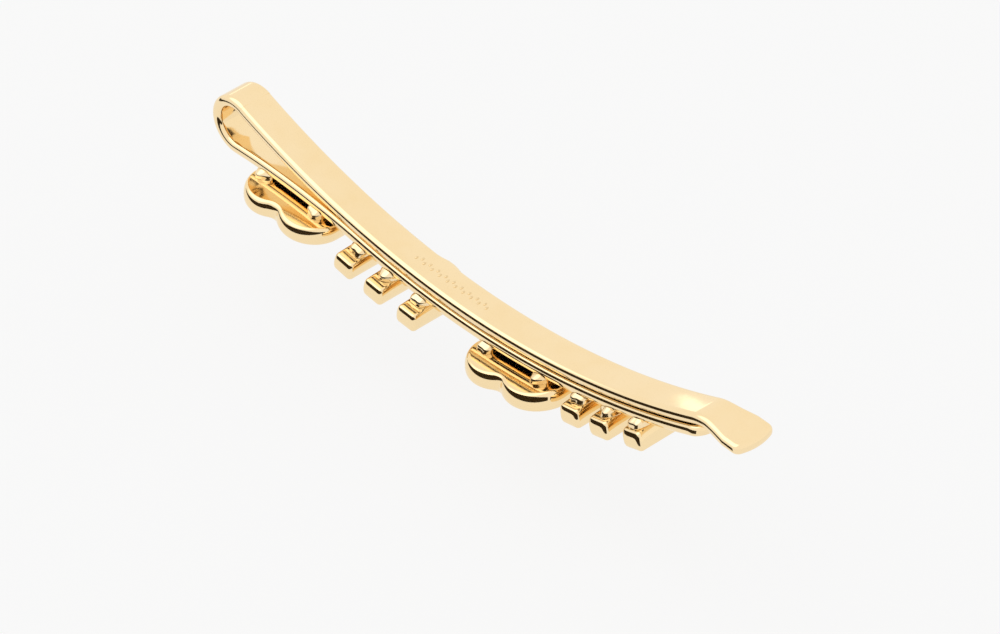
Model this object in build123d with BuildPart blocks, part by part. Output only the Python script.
from build123d import *
import os
from math import acos, atan2, cos, degrees, radians, sin, sqrt

# Decorated hair slide: one springy strip folded into a loop, with an S-curved front leg that
# carries a row of solid ornaments on its outer side, and a longer back leg that ends in a bent
# paddle. +X runs from the loop to the paddle, +Y across the strip and +Z up. The slide lies on
# its ornaments, so the hollow back face looks up. Millimetres and degrees.

# ------------------------------------------------------------------ driving dimensions
# Strip
leg_width = 3.6              # width of both legs
strip = 1.1                  # thickness of the strip
back_radius = 75.5           # radius, along the length, of the hollow back face
wedge_radius = 72.0          # radius of the front leg's outer face where it bends away to the loop
edge_round = 0.3             # rounding of the strip's long edges
leg_gap = 0.2                # clearance between the closed legs, past the wedge

# Stations on the back face, as angles about the centre of its arc; 0 is the lowest point
loop_angle = -21.2           # where the back leg runs into the loop
bend_angle = 24.05           # where the back leg turns down into the paddle
loop_radius = 3.0            # outer radius of the loop

# Ends
paddle_turn = 22.0           # how far the paddle turns down from the leg
paddle_length = 5.45         # from the bend to the end
paddle_width = 4.1           # at its widest
paddle_flare = 1.8           # length over which it widens
flare_start = 0.7            # from the bend to where it starts to widen
paddle_crown = 0.7           # how far the middle of its end stands past the corners
paddle_corner = 1.2          # rounding of the two end corners, in plan
bend_round = 2.0             # rounding of the bend, on the back face
front_end_gap = 0.35         # from the end of the front leg to the bend, along the leg
front_corner = 1.7           # rounding of the front leg's two end corners, in plan

# Ornaments
ornament_depth = 1.95        # thickness of every ornament
ornament_front_round = 0.4   # rounding of the front rim
ornament_back_round = 0.2    # rounding of the back rim
plate_near_radius = 2.9      # the plate's lobe nearer the loop: a slot across the strip
plate_near_rise = 1.45       # half the straight side of that slot
plate_far_radius = 3.4       # the lobe nearer the paddle
plate_far_rise = 0.9
plate_pitch = 4.55           # between the middles of the two lobes
plate_waist_round = 1.2      # rounding of the waist between them
bar_width = 2.4              # along the strip
bar_corner = 0.35

# Places of the ornaments, as distances along the front leg's outer face from its lowest point,
# and the bars' lengths across the strip
plate_places = [-21.2, 7.9]
bar_places = [-12.05, -8.2, -3.9, 16.25, 19.85, 23.75]
bar_lengths = [7.0, 7.0, 7.0, 6.2, 6.1, 5.6]

# Solder tabs between the front leg and the ornaments
tab_height = 0.4
tab_length = 1.5             # along the strip
tab_width = 3.2              # across the strip
plate_tab_reach = 3.4        # from the middle of a plate to each of its two tabs

# ------------------------------------------------------------------ derived sizes
front_top = strip + leg_gap                       # depth of the front leg's inner face
front_under = front_top + strip                   # depth of its outer face
ornament_back = front_under + tab_height          # depth of the ornaments' back faces
ornament_front = ornament_back + ornament_depth   # depth of their front faces


def deep(angle, depth):
    """Point at an angle about the centre of the arc and a depth under the back face."""
    reach = back_radius + depth
    return (reach * sin(radians(angle)), back_radius - reach * cos(radians(angle)))


def ahead(point, angle, distance):
    """Point at a distance from another one, in the direction of an angle."""
    return (point[0] + distance * cos(radians(angle)), point[1] + distance * sin(radians(angle)))


def turned(centre, radius, angle):
    """Point at a radius from a centre, on the side away from +Z, at an angle from -Z."""
    return (centre[0] + radius * sin(radians(angle)), centre[1] - radius * cos(radians(angle)))


# The front leg's outer face is an arc about the back face's own centre as far as wedge_angle,
# and past it an arc that bends the other way, until that touches the loop's ring.
back_centre = (0, back_radius)
loop_centre = deep(loop_angle, loop_radius)
to_loop = back_radius + loop_radius
to_wedge = back_radius + front_under + wedge_radius
between = wedge_radius + loop_radius
wedge_turn = degrees(acos((to_loop**2 + to_wedge**2 - between**2) / (2 * to_loop * to_wedge)))
wedge_angle = loop_angle + wedge_turn
wedge_place = radians(wedge_angle) * (back_radius + front_under)
wedge_centre = turned(back_centre, to_wedge, wedge_angle)
leaving_angle = degrees(
    atan2(wedge_centre[0] - loop_centre[0], loop_centre[1] - wedge_centre[1])
)
front_end_angle = bend_angle - degrees(front_end_gap / back_radius)

# The paddle leaves the bend in a straight line.
paddle_angle = bend_angle - paddle_turn
bend_point = deep(bend_angle, 0)
paddle_end = ahead(bend_point, paddle_angle, paddle_length)
paddle_foot = ahead(paddle_end, paddle_angle - 90, strip)


def under_bend():
    """Corner where the underside of the paddle meets the underside of the back leg."""
    radius = back_radius + strip
    away = (paddle_foot[0], paddle_foot[1] - back_radius)
    back = (-cos(radians(paddle_angle)), -sin(radians(paddle_angle)))
    half = away[0] * back[0] + away[1] * back[1]
    spare = half**2 - (away[0] ** 2 + away[1] ** 2 - radius**2)
    travel = -half - sqrt(spare)
    return (paddle_foot[0] + travel * back[0], paddle_foot[1] + travel * back[1])


def point_on_leg(place, depth):
    """Slope of the front leg at a place along it, and the point there at a depth."""
    if place > wedge_place:
        slope = degrees(place / (back_radius + front_under))
        return slope, deep(slope, depth)
    slope = wedge_angle + degrees((wedge_place - place) / wedge_radius)
    return slope, turned(wedge_centre, depth - front_under - wedge_radius, slope)


def lowest_height(place, reach):
    """Height of the lower end of a front face that reaches this far each way."""
    ends = [point_on_leg(end, ornament_front)[1] for end in (place - reach, place + reach)]
    return min(height for _, height in ends)


# The frame's origin is the middle of the slide, on the surface that it lies on. It lies on the
# lowest of the ornaments' front rims.
plate_reach = plate_pitch / 2 + plate_near_radius - ornament_front_round
bar_reach = bar_width / 2 - ornament_front_round
lowest = min(
    [lowest_height(place, plate_reach) for place in plate_places]
    + [lowest_height(place, bar_reach) for place in bar_places]
)
x_low = loop_centre[0] - loop_radius
x_high = max(paddle_end[0], paddle_foot[0])
middle_x = (x_low + x_high) / 2
base_depth = -lowest
section = Plane(origin=(-middle_x, 0, base_depth), x_dir=(1, 0, 0), z_dir=(0, -1, 0))
plan = Plane(origin=(-middle_x, 0, 0), x_dir=(1, 0, 0), z_dir=(0, 0, 1))
over_all = 4 * back_radius


def on_leg(place, depth):
    """Plane on the front leg at a place along it, facing out and down, with x along the leg."""
    angle, (x, z) = point_on_leg(place, depth)
    along = (cos(radians(angle)), 0, sin(radians(angle)))
    outward = (sin(radians(angle)), 0, -cos(radians(angle)))
    return Plane(origin=(x - middle_x, 0, z + base_depth), x_dir=along, z_dir=outward)


def leg_band(top, under):
    """Section of a layer that follows the front leg, from one depth to another."""
    middle = (wedge_angle + front_end_angle) / 2
    wedge_middle = (wedge_angle + leaving_angle) / 2

    def wedge_point(angle, depth):
        return turned(wedge_centre, depth - front_under - wedge_radius, angle)

    with BuildSketch(section) as band:
        with BuildLine():
            wedge_top = ThreePointArc(
                wedge_point(leaving_angle, top),
                wedge_point(wedge_middle, top),
                wedge_point(wedge_angle, top),
            )
            arc_top = ThreePointArc(wedge_top @ 1, deep(middle, top), deep(front_end_angle, top))
            end = Line(arc_top @ 1, deep(front_end_angle, under))
            arc_under = ThreePointArc(end @ 1, deep(middle, under), deep(wedge_angle, under))
            wedge_under = ThreePointArc(
                arc_under @ 1,
                wedge_point(wedge_middle, under),
                wedge_point(leaving_angle, under),
            )
            Line(wedge_under @ 1, wedge_top @ 0)
        make_face()
    return band.sketch


def plate_outline(place):
    """Outline of a two-lobed plate, seen from its front."""
    with BuildSketch(on_leg(place, ornament_front)) as outline:
        with Locations((-plate_pitch / 2, 0)):
            SlotCenterToCenter(2 * plate_near_rise, 2 * plate_near_radius, rotation=90)
        with Locations((plate_pitch / 2, 0)):
            SlotCenterToCenter(2 * plate_far_rise, 2 * plate_far_radius, rotation=90)
        waist = outline.vertices().filter_by(lambda corner: abs(corner.X) < plate_pitch / 4)
        fillet(waist, plate_waist_round)
    return outline.sketch


def outer_faces(part, place):
    """The ornament's front and back faces, in that order."""
    layer = on_leg(place, ornament_front).z_dir
    broad = part.faces().sort_by(SortBy.AREA)[-2:]
    return sorted(broad, key=lambda face: -face.center().dot(layer))


os.makedirs("parts", exist_ok=True)

# ------------------------------------------------------------------ back leg with its paddle
with BuildPart() as back_leg:
    middle = (loop_angle + bend_angle) / 2
    with BuildSketch(section) as profile:
        with BuildLine():
            face = ThreePointArc(deep(loop_angle, 0), deep(middle, 0), bend_point)
            Line(bend_point, paddle_end)
            Line(paddle_end, paddle_foot)
            Line(paddle_foot, under_bend())
            back = ThreePointArc(under_bend(), deep(middle, strip), deep(loop_angle, strip))
            Line(back @ 1, face @ 0)
        make_face()
        fillet(profile.vertices().sort_by_distance(Vector(*bend_point))[0], bend_round)
        fillet(profile.vertices().sort_by_distance(Vector(*under_bend()))[0], bend_round / 2)
    extrude(amount=paddle_width, both=True)
    # Seen from above, the strip widens past the bend and ends in a crowned edge.
    flare_from = bend_point[0] + flare_start
    flare_end = flare_from + paddle_flare
    with BuildSketch(plan) as outline:
        with BuildLine():
            side = Polyline(
                (flare_end, paddle_width / 2),
                (flare_from, leg_width / 2),
                (x_low, leg_width / 2),
                (x_low, -leg_width / 2),
                (flare_from, -leg_width / 2),
                (flare_end, -paddle_width / 2),
            )
            near = Line(side @ 1, (x_high - paddle_crown, -paddle_width / 2))
            crown = ThreePointArc(near @ 1, (x_high, 0), (x_high - paddle_crown, paddle_width / 2))
            Line(crown @ 1, side @ 0)
        make_face()
        fillet(outline.vertices().sort_by(Axis.X)[-2:], paddle_corner)
    extrude(amount=over_all, both=True, mode=Mode.INTERSECT)
    joined_end = back_leg.faces().sort_by(Axis.X)[0]
    fillet(back_leg.edges() - joined_end.edges(), edge_round)
back_leg.part.label = "back_leg"
export_step(back_leg.part, "parts/back_leg.step")

# ------------------------------------------------------------------ loop
with BuildPart() as loop_bend:
    inner_radius = loop_radius - strip
    with BuildSketch(section):
        with BuildLine():
            turn_start = 90 + loop_angle
            turn = 180 - loop_angle + leaving_angle
            outer = CenterArc(loop_centre, loop_radius, turn_start, turn)
            inner = CenterArc(loop_centre, inner_radius, turn_start, turn)
            Line(outer @ 0, inner @ 0)
            Line(outer @ 1, inner @ 1)
        make_face()
    extrude(amount=leg_width / 2, both=True)
    fillet(loop_bend.edges().filter_by(GeomType.CIRCLE), edge_round)
loop_bend.part.label = "loop_bend"
export_step(loop_bend.part, "parts/loop_bend.step")

# ------------------------------------------------------------------ front leg
with BuildPart() as front_leg:
    extrude(leg_band(front_top, front_under), amount=leg_width / 2, both=True)
    free_end = front_leg.faces().sort_by(Axis.X)[-1]
    corners = free_end.edges().filter_by(lambda edge: abs((edge @ 0).Y - (edge @ 1).Y) < edge_round)
    fillet(corners, front_corner)
    joined_end = front_leg.faces().sort_by(Axis.X)[0]
    fillet(front_leg.edges() - joined_end.edges(), edge_round)
front_leg.part.label = "front_leg"
export_step(front_leg.part, "parts/front_leg.step")

# ------------------------------------------------------------------ two-lobed plates
for number, place in enumerate(plate_places, start=1):
    with BuildPart() as plate:
        extrude(leg_band(ornament_back, ornament_front), amount=plate_far_radius * 2, both=True)
        extrude(plate_outline(place), amount=2 * ornament_depth, both=True, mode=Mode.INTERSECT)
        front, back = outer_faces(plate, place)
        fillet(front.edges(), ornament_front_round)
        fillet(outer_faces(plate, place)[1].edges(), ornament_back_round)
    plate.part.label = f"plate_{number}"
    export_step(plate.part, f"parts/plate_{number}.step")

# ------------------------------------------------------------------ short bars
for number, (place, length) in enumerate(zip(bar_places, bar_lengths), start=1):
    with BuildPart() as bar:
        with BuildSketch(on_leg(place, ornament_back)):
            RectangleRounded(bar_width, length, bar_corner)
        extrude(amount=ornament_depth)
        fillet(outer_faces(bar, place)[0].edges(), ornament_front_round)
        fillet(outer_faces(bar, place)[1].edges(), ornament_back_round)
    bar.part.label = f"bar_{number}"
    export_step(bar.part, f"parts/bar_{number}.step")

# ------------------------------------------------------------------ solder tabs
tab_places = {}
for number, place in enumerate(plate_places, start=1):
    tab_places[f"plate_{number}_tab_a"] = place - plate_tab_reach
    tab_places[f"plate_{number}_tab_b"] = place + plate_tab_reach
for number, place in enumerate(bar_places, start=1):
    tab_places[f"bar_{number}_tab"] = place
for name, place in tab_places.items():
    with BuildPart() as tab:
        extrude(leg_band(front_under, ornament_back), amount=tab_width / 2, both=True)
        with BuildSketch(on_leg(place, ornament_back)):
            Rectangle(tab_length, 2 * tab_width)
        extrude(amount=2 * tab_height, both=True, mode=Mode.INTERSECT)
    tab.part.label = name
    export_step(tab.part, f"parts/{name}.step")
